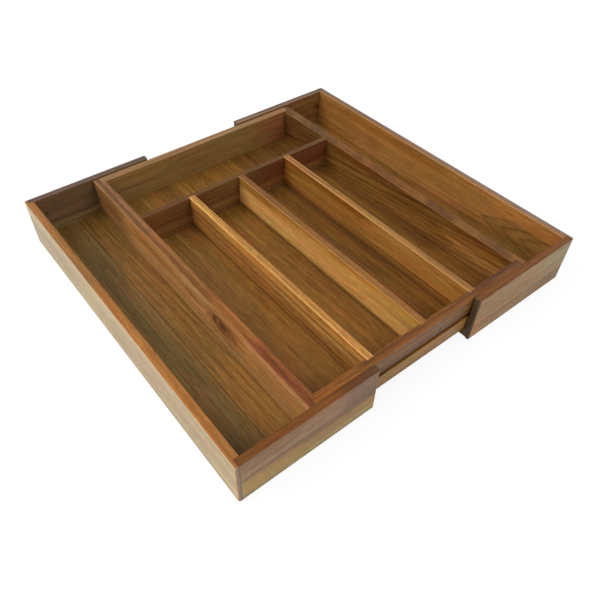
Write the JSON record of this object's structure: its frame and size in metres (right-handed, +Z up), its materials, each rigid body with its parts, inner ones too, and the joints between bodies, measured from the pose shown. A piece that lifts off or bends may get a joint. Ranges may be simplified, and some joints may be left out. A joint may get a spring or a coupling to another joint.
{
  "type": "expandable cutlery tray",
  "caption": "Wooden drawer tray for cutlery: a divided centre box between two open side trays that slide out sideways on hidden runners.",
  "frame": {"origin": "middle of the footprint at the pulled-out rest pose, on the surface that the tray stands on", "axes": "+X the way the right side tray pulls out, +Y from the front to the back compartment, +Z up"},
  "size_m": [0.451, 0.43, 0.059],
  "materials": {
    "pale_sapwood": "oiled satin",
    "golden_wood": "oiled satin",
    "orange_brown_wood": "oiled satin",
    "red_brown_wood": "oiled satin",
    "taupe_wood": "oiled satin",
    "olive_brown_wood": "oiled satin",
    "dark_brown_wood": "oiled satin"
  },
  "bodies": {
    "centre_box": {"centre_front_wall": "red_brown_wood", "centre_back_wall": "olive_brown_wood", "centre_left_wall": "orange_brown_wood", "centre_right_wall": "dark_brown_wood", "centre_cross_divider": "dark_brown_wood", "centre_divider_left": "golden_wood", "centre_divider_middle": "golden_wood", "centre_divider_right": "golden_wood", "centre_floor_left": "olive_brown_wood", "centre_floor_middle": "olive_brown_wood", "centre_floor_right": "olive_brown_wood"},
    "left_tray": {"left_front_board": "taupe_wood", "left_back_board": "dark_brown_wood", "left_side_board": "pale_sapwood", "left_floor_outer": "olive_brown_wood", "left_floor_inner": "olive_brown_wood", "left_front_runner": "golden_wood", "left_back_runner": "golden_wood"},
    "right_tray": {"right_front_board": "taupe_wood", "right_back_board": "orange_brown_wood", "right_side_board": "golden_wood", "right_floor_outer": "olive_brown_wood", "right_floor_inner": "olive_brown_wood", "right_front_runner": "golden_wood", "right_back_runner": "golden_wood"}
  },
  "joints": [
    {"name": "left_slide", "type": "slide", "parent": "centre_box", "child": "left_tray", "axis": [-1, 0, 0], "range_m": [-0.0725, 0.0275]},
    {"name": "right_slide", "type": "slide", "parent": "centre_box", "child": "right_tray", "axis": [1, 0, 0], "range_m": [-0.0615, 0.0385]}
  ]
}
